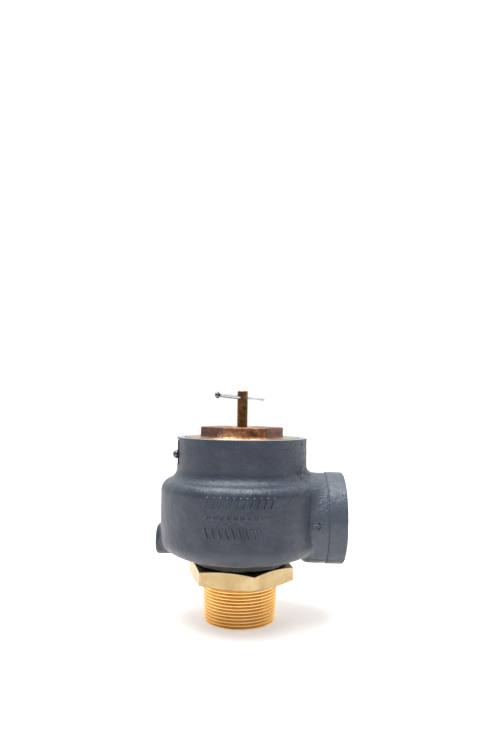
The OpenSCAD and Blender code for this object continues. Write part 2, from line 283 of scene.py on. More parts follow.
def thread_loops(angles, low, high, pitch, radius_at):
    """Loops along a right-hand helical thread between two heights.

    radius_at(z, groove) gives the radius where groove is 0 on the crest and 1 in the root. It has to give
    one radius at each end, whatever the groove.
    """
    steps = THREAD_STEPS
    count = int(math.ceil((high - low) / pitch * steps)) + 2 * steps
    loops = []
    for j in range(count + 1):
        z = low - pitch + pitch * j / steps + pitch * angles / (2 * math.pi)
        z = np.clip(z, low, high)
        wave = abs(2 * ((j / steps) % 1) - 1)
        groove = np.clip((wave - 0.35) / 0.5, 0, 1)
        loops.append(ring(angles, radius_at(z, groove), z))
    return loops


def boolean(target, cutter, operation):
    """Applies one boolean to a mesh and removes the cutter."""
    modifier = target.modifiers.new("cut", "BOOLEAN")
    modifier.object = cutter
    modifier.operation = operation
    modifier.solver = "EXACT"
    graph = bpy.context.evaluated_depsgraph_get()
    mesh = bpy.data.meshes.new_from_object(target.evaluated_get(graph), depsgraph=graph)
    target.modifiers.clear()
    target.data = mesh
    bpy.data.objects.remove(cutter)
    shade(mesh)


def cutter_object(verts_mm, faces):
    """An object that only serves as a cutter."""
    return new_object("cutter", mesh_from("cutter", verts_mm, faces))


def turned(points, turn_deg=0, rise_deg=0, move=(0, 0, 0)):
    """Points turned about Y by rise_deg, then about Z by turn_deg, then moved."""
    matrix = np.array(Euler((0, math.radians(rise_deg), math.radians(turn_deg))).to_matrix())
    return np.asarray(points) @ matrix.T + np.array(move)


# ---------------- the casting's shape, as a distance field
class Lathe:
    """Signed distance to a solid of revolution, looked up in a table over (radius, height)."""

    STEP = 0.3
    MARGIN = 8.0

    def __init__(self, outline):
        points = np.array(outline, float)
        low = np.array([-1.0, points[:, 1].min() - self.MARGIN])
        high = points.max(0) + self.MARGIN
        self.low = low
        rows = [np.arange(low[i], high[i] + self.STEP, self.STEP) for i in range(2)]
        r, h = np.meshgrid(*rows, indexing="ij")
        far = np.full(r.shape, 1e9)
        inside = np.zeros(r.shape, bool)
        for a, b in zip(points, np.roll(points, -1, axis=0)):
            d = b - a
            length = (d ** 2).sum()
            if length == 0:
                continue
            if a[0] > 0 or b[0] > 0:
                t = np.clip(((r - a[0]) * d[0] + (h - a[1]) * d[1]) / length, 0, 1)
                far = np.minimum(far, np.hypot(r - a[0] - t * d[0], h - a[1] - t * d[1]))
            crosses = (a[1] > h) != (b[1] > h)
            if d[1] != 0:
                inside ^= crosses & (np.abs(r) < a[0] + (h - a[1]) / d[1] * d[0])
        self.table = np.where(inside, -far, far).astype(np.float32)

    def __call__(self, radius, height):
        i = np.clip((radius - self.low[0]) / self.STEP, 0, self.table.shape[0] - 1.001)
        j = np.clip((height - self.low[1]) / self.STEP, 0, self.table.shape[1] - 1.001)
        i0, j0 = i.astype(np.int32), j.astype(np.int32)
        u, v = i - i0, j - j0
        t = self.table
        near = t[i0, j0] * (1 - v) + t[i0, j0 + 1] * v
        return near * (1 - u) + (t[i0 + 1, j0] * (1 - v) + t[i0 + 1, j0 + 1] * v) * u


def arc(cx, cy, a, b, start, stop, steps=16):
    """Points along part of an ellipse, with angles in degrees."""
    t = np.radians(np.linspace(start, stop, steps + 1))
    return [(cx + a * math.cos(s), cy + b * math.sin(s)) for s in t]


def smooth_min(a, b, k):
    """The lesser of two distances, with the crease between them filled over a width k."""
    h = np.clip(0.5 + 0.5 * (b - a) / k, 0, 1)
    return b + (a - b) * h - k * h * (1 - h)


def smooth_max(a, b, k):
    return -smooth_min(-a, -b, k)


def soft_noise(x, y, z, cell, seed):
    """Smooth noise from -1 to 1 with features about cell millimetres across."""
    count = 32
    values = np.random.default_rng(seed).uniform(-1, 1, (count, count, count)).astype(np.float32)
    result = 0
    where = [np.asarray(c / cell, np.float32) for c in (x, y, z)]
    base = [np.floor(c).astype(np.int32) for c in where]
    part = [c - b for c, b in zip(where, base)]
    part = [p * p * (3 - 2 * p) for p in part]
    for i in range(8):
        bits = (i & 1, i >> 1 & 1, i >> 2)
        weight = 1
        for p, bit in zip(part, bits):
            weight = weight * (p if bit else 1 - p)
        at = tuple((b + bit) % count for b, bit in zip(base, bits))
        result = result + weight * values[at]
    return result


def body_outline():
    """Outside of the belly and neck, from the foot to the rim, closed along the axis."""
    edge = 1.0
    return (
        [(0, HEX_TOP_Z), (FOOT_NECK_R, HEX_TOP_Z), (FOOT_NECK_R, UNDER_Z - 1.5)]
        + arc(FOOT_R, BELLY_LOW_Z, BELLY_R - FOOT_R, BELLY_LOW_Z - UNDER_Z, -90, 0)
        + arc(BELLY_R - SHOULDER_R, BELLY_HIGH_Z, SHOULDER_R, SHOULDER_R, 0, SHOULDER_TURN)
        + arc(NECK_R + SHOULDER_R, SHOULDER_TOP_Z, SHOULDER_R, SHOULDER_R, 180 + SHOULDER_TURN, 180)
        + arc(NECK_R - edge, RIM_Z - edge, edge, edge, 0, 90, 5)
        + [(0, RIM_Z)]
    )


def cavity_outline():
    """Inside of the belly and the plain bore of the neck."""
    inner = BELLY_R - WALL
    top, turn = NECK_BORE_LOW_Z, INNER_SHOULDER_R
    return (
        [(0, RIM_Z + 5), (NECK_BORE_R + 6, RIM_Z + 5), (NECK_BORE_R, RIM_Z - 1), (NECK_BORE_R, top)]
        + arc(inner - turn, top - turn, turn, turn, 90, 0)
        + arc(FOOT_R, BELLY_LOW_Z, inner - FOOT_R, BELLY_LOW_Z - UNDER_Z - WALL, 0, -82)
        + [(SOCKET_OUT_R, 73), (SOCKET_OUT_R, SPIGOT_TOP_Z), (0, SPIGOT_TOP_Z)]
    )


def outlet_outline():
    """Outside of the outlet as (radius, distance from the valve's axis)."""
    groove_x = OUTLET_X - BAND_W
    edge = 1.6
    root = 10.0
    return (
        [(0, OUTLET_ROOT_X)]
        + arc(OUTLET_NECK_R - root, OUTLET_ROOT_X + root, root, root, -90, 0, 8)
        + [(OUTLET_NECK_R, groove_x - 1.2), (OUTLET_NECK_R - 0.5, groove_x), (BAND_R, groove_x + 1.0)]
        + arc(BAND_R - edge, OUTLET_X - edge, edge, edge, 0, 90, 6)
        + [(0, OUTLET_X)]
    )


def passage_outline():
    """Inside of the outlet, with a seat for the threaded liner."""
    thread_x = OUTLET_X - OUTLET_THREAD_LEN
    return [
        (0, OUTLET_ROOT_X + 3), (CORE_R, OUTLET_ROOT_X + 3), (CORE_R, thread_x), (LINER_R, thread_x),
        (LINER_R, OUTLET_X + 4), (0, OUTLET_X + 4),
    ]


def boss_outline():
    """The drain boss as (radius, distance from the valve's axis)."""
    face = abs(BOSS_FACE_X)
    edge = 3.2
    return [(0, 60), (BOSS_R, 60)] + arc(BOSS_R - edge, face - edge, edge, edge, 0, 90, 6) + [(0, face)]


def plug_hole_outline():
    """The boss's hole with its chamfered mouth, as (radius, distance from the valve's axis)."""
    face = abs(BOSS_FACE_X)
    mouth = PLUG_HOLE_R + 1.75
    return [(0, 60), (PLUG_HOLE_R, 60), (PLUG_HOLE_R, face - 0.7), (mouth, face + 1), (mouth, 100), (0, 100)]


def socket_outline():
    """The threaded hole for the base nozzle's spigot."""
    low, high = HEX_TOP_Z - 6, SPIGOT_TOP_Z + 3
    return [(0, low), (SOCKET_R, low), (SOCKET_R, high), (0, high)]


BODY = Lathe(body_outline())
CAVITY = Lathe(cavity_outline())
OUTLET = Lathe(outlet_outline())
PASSAGE = Lathe(passage_outline())
BOSS = Lathe(boss_outline())
SOCKET_HOLE = Lathe(socket_outline())
PLUG_HOLE = Lathe(plug_hole_outline())


def segment_distance(x, y, a, b):
    """Distance from points to a line segment in a plane."""
    d = (b[0] - a[0], b[1] - a[1])
    t = np.clip(((x - a[0]) * d[0] + (y - a[1]) * d[1]) / (d[0] ** 2 + d[1] ** 2), 0, 1)
    return np.hypot(x - a[0] - t * d[0], y - a[1] - t * d[1])


def relief(distance, half_width, slope=0.7):
    """1 on top of a raised line, falling smoothly to 0 beside it."""
    t = np.clip((half_width + slope - distance) / slope, 0, 1)
    return t * t * (3 - 2 * t)


def marks_height(x, y, z):
    """Height of the raised dashes and studs on the belly's front."""
    front = (y < 0) & (np.hypot(x, y) > BELLY_R - 4) & (z > 90) & (z < 140) & (np.abs(x) < 45)
    height = np.zeros(x.shape, np.float32)
    xs, ys, zs = x[front], y[front], z[front]
    along = np.arctan2(xs, -ys) * BELLY_R
    total = np.zeros(xs.shape, np.float32)
    slant = math.tan(math.radians(MARK_SLANT))
    for row_z, count, lean in MARK_ROWS:
        for i in range(count):
            centre = math.asin((MARK_LEFT + i * MARK_STEP) / BELLY_R) * BELLY_R
            if lean:
                half = MARK_TALL / 2 - MARK_W / 2
                shift = lean * half * slant
                foot, head = (centre - shift, row_z - half), (centre + shift, row_z + half)
                away = segment_distance(along, zs, foot, head)
                total = np.maximum(total, relief(away, MARK_W / 2 - 0.2))
            else:
                total = np.maximum(total, relief(np.hypot(along - centre, zs - row_z), MARK_W - 0.3))
    height[front] = total * MARK_H
    return height


def arrow_height(x, y, z):
    """Height of the flow arrow on the front of the outlet's neck."""
    near = (y < -30) & (x > ARROW_X - 4) & (x < ARROW_X + ARROW_LEN + 4) & (np.abs(z - ARROW_Z) < 10)
    height = np.zeros(x.shape, np.float32)
    xs, zs = x[near], z[near]
    tip = (ARROW_X + ARROW_LEN, ARROW_Z)
    away = segment_distance(xs, zs, (ARROW_X, ARROW_Z), tip)
    for side in (-1, 1):
        barb = (tip[0] - ARROW_HALF, ARROW_Z + side * ARROW_HALF)
        away = np.minimum(away, segment_distance(xs, zs, tip, barb))
    height[near] = relief(away, 0.7) * MARK_H
    return height


def pitted_share(x, z):
    """How pitted the casting is, from 0 to 1: most on the right of the neck."""
    right = np.clip((x - 35) / 25, 0, 1) * np.clip((z - 128) / 12, 0, 1)
    return np.clip(right * (x < 72) + 0.10, 0, 1)


def rough_share(x, z):
    """How rough the casting's skin is, from 0 to 1: most where it is pitted and on the outlet's neck."""
    on_band = np.clip((x - OUTLET_X + BAND_W) / 3, 0, 1)
    outlet = np.clip((x - 60) / 10, 0, 1) * (0.45 + 0.4 * np.clip((z - 95) / 20, 0, 1)) * (1 - 0.8 * on_band)
    shoulder = 0.35 * np.clip(1 - np.abs(z - SHOULDER_TOP_Z + 10) / 12, 0, 1)
    return np.clip(pitted_share(x, z) + outlet + shoulder, 0, 1)


def flat_distance(x, z):
    """Distance to the space cut away for the nameplate's flat."""
    middle_z = (plate_low[2] + plate_high[2]) / 2
    half_h = (plate_high[2] - plate_low[2]) / 2 + 0.4
    return smooth_max(x - plate_high[0] - 0.02, np.abs(z - middle_z) - half_h, 0.4)


def casting_field(x, y, z):
    """Signed distance to the painted casting, negative inside the iron."""
    radius = np.hypot(x, y)
    off_outlet = np.hypot(y, z - OUTLET_Z)
    off_boss = np.hypot(y, z - BOSS_Z)
    fillet = 3.5 + 6.0 * np.clip((z - 112) / 28, 0, 1)
    solid = smooth_min(BODY(radius, z), OUTLET(off_outlet, x), fillet)
    solid = smooth_min(solid, BOSS(off_boss, -x), 5.0)
    lumps = 0.16 * soft_noise(x, y, z, 11.0, 3) + 0.09 * soft_noise(x, y, z, 4.5, 4)
    pits = np.maximum(soft_noise(x, y, z, 3.2, 5), 0) * pitted_share(x, z) * 0.9
    solid = solid + (lumps + pits) * np.clip((RIM_Z - 1.5 - z) / 3, 0, 1)
    solid = solid - marks_height(x, y, z) - arrow_height(x, y, z)
    hollow = smooth_min(CAVITY(radius, z), PASSAGE(off_outlet, x), 2.5)
    hollow = np.minimum(hollow, SOCKET_HOLE(radius, z))
    hollow = np.minimum(hollow, PLUG_HOLE(off_boss, -x))
    solid = smooth_max(solid, -hollow, 1.0)
    return smooth_max(solid, -flat_distance(x, z), 0.6)


def surface_nets(field, low, high, cell):
    """Turns a distance field into a quad mesh, one vertex in each cell that the surface crosses."""
    axes = [np.arange(low[i], high[i] + cell, cell, dtype=np.float32) for i in range(3)]
    values = np.stack([
        field(*np.meshgrid([x], axes[1], axes[2], indexing="ij"))[0] for x in axes[0]
    ]).astype(np.float32)
    inside = values < 0
    shape = np.array(values.shape) - 1
    corners = [(i & 1, i >> 1 & 1, i >> 2) for i in range(8)]

    def corner(grid, c):
        return grid[c[0]:c[0] + shape[0], c[1]:c[1] + shape[1], c[2]:c[2] + shape[2]]

    filled = sum(corner(inside, c).astype(np.int8) for c in corners)
    active = (filled > 0) & (filled < 8)
    cells = np.argwhere(active)
    index = np.full(active.shape, -1, np.int64)
    index[active] = np.arange(len(cells))
    at = np.stack([corner(values, c)[active] for c in corners], axis=1)
    total = np.zeros((len(cells), 3))
    hits = np.zeros((len(cells), 1))
    for a in range(8):
        for axis in range(3):
            b = a | 1 << axis
            if b == a:
                continue
            crossed = (at[:, a] < 0) != (at[:, b] < 0)
            t = at[:, a] / np.where(crossed, at[:, a] - at[:, b], 1)
            point = np.array(corners[a], float) + t[:, None] * np.eye(3)[axis]
            total += np.where(crossed[:, None], point, 0)
            hits += crossed[:, None]
    verts = (cells + total / hits) * cell + np.array([a[0] for a in axes])
    faces = []
    for axis in range(3):
        u, v = (axis + 1) % 3, (axis + 2) % 3
        ahead = np.roll(inside, -1, axis)
        change = inside != ahead
        take = [slice(1, -1)] * 3
        take[axis] = slice(0, -1)
        spots = np.argwhere(change[tuple(take)]) + np.array([0 if i == axis else 1 for i in range(3)])
        down = inside[tuple(spots.T)]
        quad = []
        for du, dv in ((1, 1), (0, 1), (0, 0), (1, 0)):
            step = np.zeros(3, int)
            step[u], step[v] = du, dv
            quad.append(index[tuple((spots - step).T)])
        quad = np.stack(quad, axis=1)
        quad[~down] = quad[~down][:, ::-1]
        faces.append(quad)
    return verts, np.concatenate(faces)


def pull_to_surface(field, points, rounds=2):
    """Moves points along the field's slope onto the surface."""
    step = 0.2
    for _ in range(rounds):
        x, y, z = points.T
        here = field(x, y, z)
        slope = np.stack([
            field(x + step, y, z) - field(x - step, y, z),
            field(x, y + step, z) - field(x, y - step, z),
            field(x, y, z + step) - field(x, y, z - step),
        ], axis=1) / (2 * step)
        size = (slope ** 2).sum(1)
        move = -(here / np.maximum(size, 0.3))[:, None] * slope
        points = points + np.clip(move, -0.8, 0.8)
    return points


def split_faces(mesh, chosen):
    """Cuts the chosen faces of a bmesh into four."""
    edges = {e for f in chosen for e in f.edges}
    bmesh.ops.subdivide_edges(mesh, edges=list(edges), cuts=1, use_grid_fill=True)


def make_casting(material):
    """The painted casting, finer on the raised marks, the arrow and the nameplate's flat."""
    margin, cell = 3, 1.25
    verts, faces = surface_nets(casting_field, casting_low - margin, casting_high + margin, cell)
    verts = pull_to_surface(casting_field, verts)
    mesh = bpy.data.meshes.new("casting")
    mesh.from_pydata(verts.tolist(), [], faces.tolist())
    bm = bmesh.new()
    bm.from_mesh(mesh)
    for level in range(2):
        chosen = []
        for face in bm.faces:
            c = face.calc_center_median()
            on_marks = c.y < -60 and abs(c.x) < 36 and 94 < c.z < 135
            on_arrow = c.y < -40 and ARROW_X - 2 < c.x < ARROW_X + ARROW_LEN + 2 and abs(c.z - ARROW_Z) < 7
            on_plate = c.x < -56 and abs(c.y) < 30 and c.z > plate_low[2] - 3
            outside = math.hypot(c.x, c.y) > 72 or c.z > 140 or c.z < 70
            if on_marks or on_arrow or on_plate or (level == 0 and outside):
                chosen.append(face)
        split_faces(bm, chosen)
    bm.to_mesh(mesh)
    bm.free()
    points = np.empty(len(mesh.vertices) * 3)
    mesh.vertices.foreach_get("co", points)
    points = pull_to_surface(casting_field, points.reshape(-1, 3))
    mesh.vertices.foreach_set("co", (points * MM).ravel())
    mesh.update()
    rough = rough_share(points[:, 0], points[:, 2])
    # Share of the painted sheen that the enamel takes on the outlet, from x = 65 mm outwards.
    pale = np.clip((points[:, 0] - 65) / 5, 0, 1)
    marks = (("rough", rough), ("pale", pale))
    piece = finish_piece("housing_casting", mesh, material, "casing", 60, marks)
    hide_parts("housing")
    return piece


# ---------------- turned and milled pieces
def outlet_thread_radius(x, groove):
    """Radius of the female pipe thread at a distance from the valve's axis."""
    in_from_face = OUTLET_X - x
    crest = OUTLET_CREST_R - in_from_face * PIPE_TAPER
    fade = np.clip((OUTLET_THREAD_LEN - in_from_face) / 4, 0, 1)
    thread = crest + OUTLET_THREAD_DEPTH * groove * fade
    mouth = LINER_R - 0.1 - in_from_face * 0.9
    return np.maximum(thread, mouth)


def make_outlet_thread(material):
    """The cut thread inside the outlet, as a liner of bare iron."""
    angles = round_angles(160)
    far_x, face_x, outer = OUTLET_X - OUTLET_THREAD_LEN, OUTLET_X - 0.3, LINER_R + 0.05
    inner = thread_loops(angles, far_x, face_x, PIPE_PITCH, outlet_thread_radius)
    back = rings(angles, [(outer, face_x), (outer, far_x)])
    verts, faces = skin(inner + back, closed=True, helix=(0, len(inner) - 1, THREAD_STEPS))
    # Painted shade: how far into the thread's groove each point is, which darkens the roots.
    radius = np.hypot(verts[:, 0], verts[:, 1])
    root = np.clip((radius - OUTLET_CREST_R + 0.6) / OUTLET_THREAD_DEPTH, 0, 1)
    verts = verts[:, [2, 1, 0]] * [1, -1, 1] + [0, 0, OUTLET_Z]
    piece = new_piece("outlet_thread", verts, faces, material, "casing", 24, (("root", root),))
    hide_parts("housing")


def inlet_thread_radius(z, groove):
    """Radius of the male pipe thread at a height."""
    crest = INLET_CREST_R + z * PIPE_TAPER
    run_out = np.clip((THREAD_TOP_Z - z) / 2.0, 0, 1)
    thread = crest - INLET_THREAD_DEPTH * groove * run_out
    return np.minimum(thread, 34.9 + z * 1.2)


def make_base(brass):
    """Inlet thread, hexagon, spigot and seat, in one piece."""
    angles, hexagon = hex_loop(BASE_HEX, 45, 0.9, per_side=28)
    flat = BASE_HEX / 2
    top_slope, low_slope = 0.27, 0.2
    top = HEX_TOP_Z - np.maximum(hexagon - flat + 1.8, 0) * top_slope
    bottom = HEX_LOW_Z + np.maximum(hexagon - flat + 0.6, 0) * low_slope
    thread = thread_loops(angles, 0.0, THREAD_TOP_Z, PIPE_PITCH, inlet_thread_radius)
    spigot_r, spigot_in_r = 44.4, 41.0
    loops = rings(angles, [(BASE_BORE_R + 0.8, 0.0)]) + thread + rings(angles, [
        (38.2, THREAD_TOP_Z + 0.5), (38.7, THREAD_TOP_Z + 1.4), (38.9, HEX_LOW_Z - 0.3), (39.3, HEX_LOW_Z),
        (flat - 0.6, HEX_LOW_Z), (hexagon - 0.35, bottom - 0.02), (hexagon, bottom + 0.35),
        (hexagon, (bottom + top) / 2), (hexagon, top - 0.35), (hexagon - 0.3, top), (flat - 1.8, HEX_TOP_Z),
        (spigot_r, HEX_TOP_Z), (spigot_r, SPIGOT_TOP_Z), (spigot_in_r, SPIGOT_TOP_Z),
        (spigot_in_r, base_top - 2), (34.4, base_top - 2), (33.8, base_top - 0.3), (33.4, base_top),
        (31.4, base_top), (BASE_BORE_R, base_top - 0.4), (BASE_BORE_R, 0.8),
    ])
    verts, faces = skin(loops, closed=True, helix=(1, len(thread), THREAD_STEPS))
    radius, z = np.hypot(verts[:, 0], verts[:, 1]), verts[:, 2]
    crest = inlet_thread_radius(z, 0.0)
    on_thread = (z < THREAD_TOP_Z) & (radius > BASE_BORE_R + 2)
    # Painted shade: how far into the thread's groove each point is, which darkens the roots.
    root = np.where(on_thread, (crest - radius) / INLET_THREAD_DEPTH, 0)
    satin = np.clip((z - HEX_LOW_Z + 0.3) / 0.3, 0, 1)
    # Painted shade: the hexagon's top face, under the casting, goes near black.
    dark = np.where((z > HEX_TOP_Z - 0.2) & (radius < flat - 1.0), 1.0, 0.0)
    marks = (("root", np.clip(root, 0, 1)), ("second", satin), ("dark", dark))
    piece = new_piece("base_body", verts, faces, brass, "casing", 24, marks)
    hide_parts("base_nozzle")


def adjuster_thread_radius(z, groove):
    """Radius of the adjusting screw's thread at a height."""
    low, high = screw_low[2], screw_high[2] - ADJUSTER_HEX_H
    thread = ADJUSTER_CREST_R - ADJUSTER_THREAD_DEPTH * groove
    return np.minimum(thread, np.minimum(55.8 + (z - low), 55.8 + (high - z)))


def make_adjuster(bronze):
    """Threaded ring with a cast hexagon, bored for its bushing."""
    low, ring_top, top = screw_low[2], screw_high[2] - ADJUSTER_HEX_H, screw_high[2]
    angles, hexagon = hex_loop(ADJUSTER_HEX, ADJUSTER_TURN, 1.4, per_side=24)
    thread = thread_loops(angles, low, ring_top, SCREW_PITCH, adjuster_thread_radius)
    rough = rng.uniform(-0.12, 0.12, (6, len(angles)))
    rough = (rough + np.roll(rough, 1, 1) + np.roll(rough, 2, 1)) / 2
    bore_r, recess_r = 9.0, 12.1
    loops = rings(angles, [(bore_r, low)]) + thread + rings(angles, [
        (ADJUSTER_FACE_R, ring_top), (hexagon + 1.6, ring_top), (hexagon + 0.5, ring_top + 0.5),
    ])
    for i, share in enumerate((0.18, 0.4, 0.65, 0.85)):
        loops.append(ring(angles, hexagon + rough[i], ring_top + ADJUSTER_HEX_H * share))
    loops += rings(angles, [
        (hexagon - 0.25 + rough[4], top - 0.5), (hexagon - 1.1, top), (hexagon * 0.75, top), (13.0, top),
        (recess_r, top - 0.5), (recess_r, top - 1.6), (bore_r, top - 1.6),
    ])
    verts, faces = skin(loops, closed=True, helix=(1, len(thread), THREAD_STEPS))
    x, y, z = verts.T
    radius = np.hypot(x, y)
    # Painted shade: how far into the thread's groove each point is, which darkens the roots.
    depth = (ADJUSTER_CREST_R - 0.05 - radius) / (ADJUSTER_THREAD_DEPTH - 0.05)
    root = np.where((z < ring_top) & (z > low) & (radius > 50), depth, 0)
    cast = np.clip((z - ring_top - 0.1) / 0.3, 0, 1)
    face = np.where((abs(z - ring_top) < 0.1) & (radius < ADJUSTER_FACE_R + 0.1), 0.8, 0.0)
    rubbed = np.clip(1.3 - np.hypot((x + 13) / 12, (z - ring_top - 1) / 5), 0, 1) * (y < -30)
    # Painted shade on the hexagon: one darkness for each facet, as light falls on it, and one for the top
    # face.
    facet = ((np.degrees(np.arctan2(y, x)) - ADJUSTER_TURN) // 60 % 6).astype(int)
    hex_shade = np.where(z > top - 0.4, TOP_SHADE, np.array(FACET_SHADE)[facet])
    marks = (
        ("root", np.clip(root, 0, 1)), ("second", cast), ("face", face), ("worn", rubbed),
        ("dark", hex_shade * cast),
    )
    piece = new_piece("adjusting_screw_body", verts, faces, bronze, "screw", 24, marks)
    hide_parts("adjusting_screw")


def make_stem(brown):
    """Rod with a collar, a chamfered top and a cross hole for the pin."""
    angles = round_angles(64)
    low, high, r = stem_low[2], stem_high[2], STEM_R
    collar_r, collar_low, collar_high = 9.0, 103.0, 107.0
    verts, faces = skin(rings(angles, [
        (r - 0.9, low), (r, low + 0.9), (r, collar_low - 0.1), (collar_r - 0.4, collar_low),
        (collar_r, collar_low + 0.4), (collar_r, collar_high - 0.4), (collar_r - 0.4, collar_high),
        (r + 0.3, collar_high), (r, collar_high + 0.4), (r, 150), (r, 190), (r, high - 0.7), (r - 0.7, high),
        (1.4, high), (1.2, high - 0.5),
    ]))
    piece = new_piece("stem_rod", verts, faces, brown, "lifting_train")
    hole_r, mouth_r = 2.35, 2.9
    hole = [(mouth_r, -6.2), (hole_r, -5.0), (hole_r, 5.0), (mouth_r, 6.2)]
    verts, faces = skin(rings(round_angles(40), hole))
    cutter = cutter_object(turned(verts[:, [2, 1, 0]], PIN_TURN, 0, (0, 0, PIN_Z)), faces)
    boolean(piece, cutter, "DIFFERENCE")
    cotter_r, cotter_z = 1.3, 46.5
    verts, faces = skin(rings(round_angles(24), [(cotter_r, -7), (cotter_r, 7)]))
    cutter = cutter_object(verts[:, [0, 2, 1]] + [0, 0, cotter_z], faces)
    boolean(piece, cutter, "DIFFERENCE")
    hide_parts("stem")


def make_pull_pin(zinc):
    """A split pin: half-round wire folded into two legs with an eye."""
    half = 1.8
    eye_r, eye_x = 1.35, -46.8
    long_tip, short_tip = 45.0, 43.0
    leg_end, eye_start = -43.6, 38
    gap, spread, spread_x = 0.01, 0.02, 38
    path = [(x, gap + spread * max(x - spread_x, 0)) for x in np.linspace(long_tip, leg_end, 30)]
    path += arc(eye_x, 0, eye_r, eye_r, eye_start, 360 - eye_start, 29)
    path += [(x, -gap - spread * max(x - spread_x, 0)) for x in np.linspace(leg_end, short_tip, 30)]
    path = np.array(path)
    tangent = np.gradient(path, axis=0)
    for _ in range(2):
        tangent[1:-1] = (tangent[:-2] + tangent[1:-1] * 2 + tangent[2:]) / 4
    tangent /= np.linalg.norm(tangent, axis=1)[:, None]
    outward = np.stack([tangent[:, 1], -tangent[:, 0]], axis=1)
    bend = np.linspace(-90, 90, 13)
    across = np.r_[np.sin(np.radians(bend)) * half, np.linspace(half, -half, 5)[1:-1]]
    out = np.r_[np.cos(np.radians(bend)) * half, np.zeros(3)]
    loops = []
    for i, p in enumerate(path):
        shrink = 0.8 if i in (0, len(path) - 1) else 1.0
        x, z = p[:, None] + outward[i][:, None] * out * shrink
        loops.append(np.stack([x, across * shrink, z], axis=1))
    verts, faces = skin(loops)
    # Painted reflection: the eye takes the dark zinc finish, for the dim front that it reflects.
    eye = np.clip((leg_end + 1.0 - verts[:, 0]) / 1.5, 0, 1)
    placed = turned(verts, PIN_TURN, PIN_RISE, (0, 0, PIN_Z))
    piece = new_piece("split_pin", placed, faces, zinc, "pin", 50, (("second", eye),))
    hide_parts("pull_pin")


def make_drain_plug(paint):
    """Pipe plug with a hexagon socket, flush with the boss and painted with the casting."""
    angles, socket = hex_loop(PLUG_SOCKET, 0, 0.3, per_side=10)
    length = plug_high[0] - plug_low[0]
    verts, faces = skin(rings(angles, [
        (7.5, -length), (8.3, -length + 0.8), (8.45, -1.0), (7.7, -0.2), (7.2, 0.0), (socket + 0.6, 0.0),
        (socket, -0.5), (socket, -6.0),
    ]))
    verts = np.stack([plug_low[0] - verts[:, 2], verts[:, 1], BOSS_Z + verts[:, 0]], axis=1)
    piece = new_piece("drain_plug_body", verts, faces, paint, "casing")
    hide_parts("drain_plug")


def rounded_rectangle(width, height, corner):
    """Points round a rectangle in the plane, with round corners."""
    points = []
    for i, (sx, sy) in enumerate(((1, 1), (-1, 1), (-1, -1), (1, -1))):
        x, y = sx * (width / 2 - corner), sy * (height / 2 - corner)
        points += arc(x, y, corner, corner, 90 * i, 90 * i + 90, 6)
    return np.array(points)


def make_nameplate(metal):
    """Blank plate with round corners and a pressed border."""
    width, height = plate_high[1] - plate_low[1], plate_high[2] - plate_low[2]
    face_x, back_x = plate_low[0], plate_high[0]
    middle = (plate_low + plate_high) / 2
    steps = [
        (0.0, back_x), (0.0, face_x + 0.35), (0.3, face_x + 0.2), (1.5, face_x + 0.2), (1.9, face_x),
        (2.4, face_x), (2.8, face_x + 0.2), (6.0, face_x + 0.2),
    ]
    loops = []
    for inset, x in steps:
        y, z = rounded_rectangle(width - 2 * inset, height - 2 * inset, max(2.5 - inset, 0.4)).T
        loops.append(np.stack([np.full(len(y), x), y + middle[1], z + middle[2]], axis=1))
    verts, faces = skin(loops)
    piece = new_piece("nameplate_blank", verts, faces, metal, "casing", 20)
    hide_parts("nameplate")


def make_nameplate_screws(steel):
    """Two round-head drive screws."""
    angles = round_angles(40)
    head_r, head_h, rim_h, shank_r = 4.0, 5.0, 1.2, 1.5
    face_x = plate_low[0]
    profile = [
        (shank_r - 0.4, -4.0), (shank_r, -3.5), (shank_r, 0.0), (head_r - 0.3, 0.0), (head_r, 0.4),
    ] + arc(0, rim_h, head_r, head_h - rim_h, 0, 84, 7)
    verts, faces = skin(rings(angles, profile))
    for side, name in ((heads_low[1] + head_r, "near"), (heads_high[1] - head_r, "far")):
        centre_z = (heads_low[2] + heads_high[2]) / 2
        placed = np.stack([face_x - verts[:, 2], verts[:, 1] + side, verts[:, 0] + centre_z], axis=1)
        piece = new_piece("nameplate_screw_" + name, placed, faces, steel, "casing", 40)
        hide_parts("nameplate_screws")


def make_spring(steel):
    """Closed and ground compression spring, in two lengths that meet where its middle coils stay put."""
    low, high = spring_low[2], spring_high[2]
    wire, coil, turns, ends = 4.0, 37.0, 5.5, 0.75
    count = 48
    t = np.linspace(0, turns, int(turns * count) + 1)
    z = np.interp(
        t, [0, ends, turns - ends, turns],
        [low + wire * 0.9, low + 2 * wire, high - 2 * wire, high - wire * 0.9],
    )
    side = round_angles(18)
    loops = []
    for turn, height in zip(t * 2 * math.pi, z):
        radius = coil + wire * np.cos(side)
        z_side = np.clip(height + wire * np.sin(side), low, high)
        loops.append(np.stack([radius * math.cos(turn), radius * math.sin(turn), z_side], axis=1))
    split = int(np.searchsorted(z, low + (high - low) * SPRING_SPLIT))
    still_z = z[split]
    lengths = (
        ("spring_coil_lower", loops[:split + 1], ("lifting_train", "casing"), low, still_z - wire),
        ("spring_coil_upper", loops[split:], ("casing", "spring_step"), still_z + wire, high),
    )
    for name, part, bodies, start_z, end_z in lengths:
        verts, faces = skin(part)
        piece = new_piece(name, verts, faces, steel, None, 40)
        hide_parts("spring")
        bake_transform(piece)


